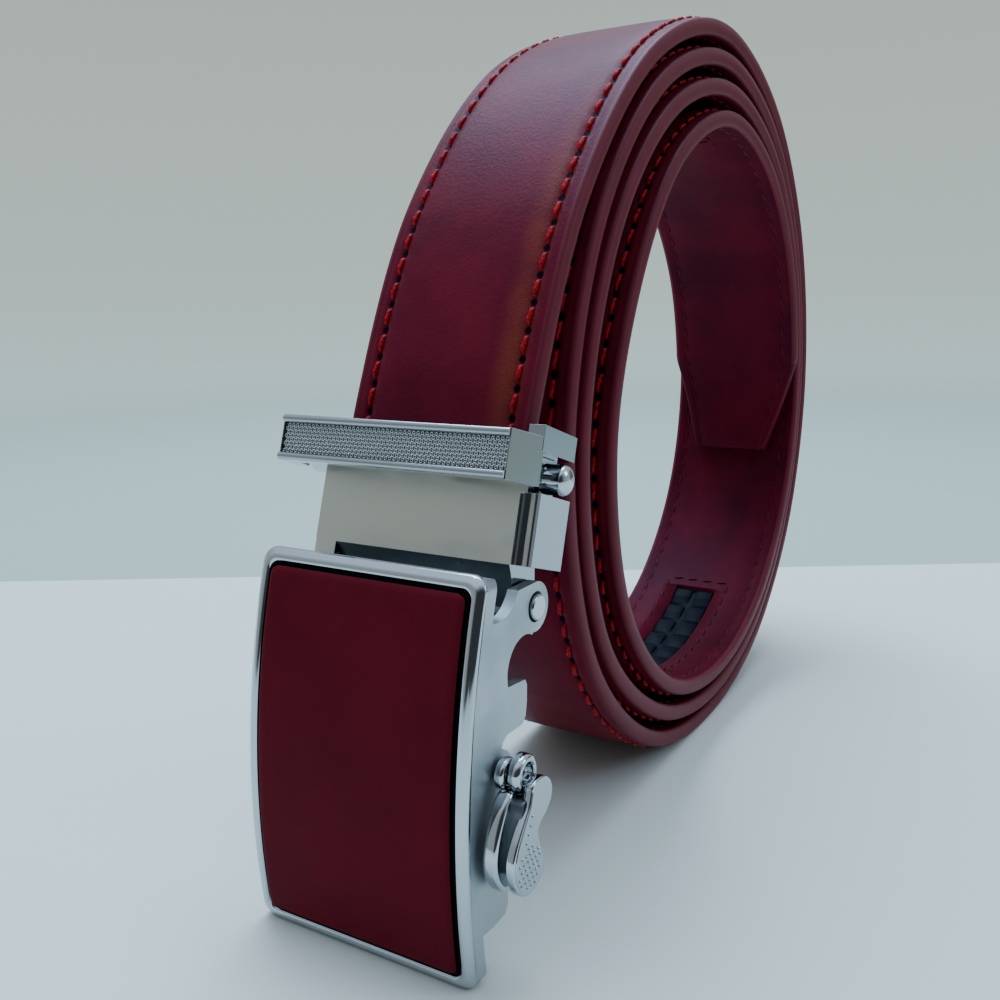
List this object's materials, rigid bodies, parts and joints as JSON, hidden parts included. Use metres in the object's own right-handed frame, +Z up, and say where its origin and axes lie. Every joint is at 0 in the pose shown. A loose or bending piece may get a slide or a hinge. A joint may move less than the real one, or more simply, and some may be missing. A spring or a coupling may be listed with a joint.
{
  "type": "ratchet belt",
  "caption": "Rolled leather ratchet belt standing on its edge, with a hinged automatic buckle, a keeper bar, a side release lever and a toothed rack inside the tail.",
  "frame": {"origin": "on the surface the belt stands on, in the flat-pressed patch of leather under the centre of the coil", "axes": "+Z up, +X across the strap towards the release lever, -Y towards the buckle"},
  "size_m": [0.0453, 0.168, 0.135],
  "materials": {
    "strap_leather": "smooth glazed leather, painted edges",
    "panel_leather": "fine-grained, satin",
    "rack_plastic": "moulded, semi-gloss",
    "chrome": "polished",
    "brushed_steel": "brushed"
  },
  "bodies": {
    "belt": {"strap": "strap_leather", "ratchet_rack": "rack_plastic", "clamp_body": "chrome", "clamp_jaw": "brushed_steel", "keeper_bar": "chrome", "cross_pin_right": "chrome", "cross_pin_left": "chrome", "hinge_pin_right": "chrome", "hinge_pin_left": "chrome"},
    "frame": {"buckle_frame": "chrome", "buckle_insert": "panel_leather"},
    "release": {"pawl_shaft": "brushed_steel", "pawl": "brushed_steel", "release_lever": "chrome"}
  },
  "joints": [
    {"name": "frame_hinge", "type": "hinge", "parent": "belt", "child": "frame", "pos_m": [0, -0.08299, 0.04662], "axis": [-1, 0, 0], "range_deg": [-30, 28]},
    {"name": "release_hinge", "type": "hinge", "parent": "frame", "child": "release", "pos_m": [0, -0.09276, 0.02763], "axis": [1, 0, 0], "range_deg": [0, 25], "stiffness_Nm_per_rad": 0.02, "springref_deg": -8.59}
  ]
}
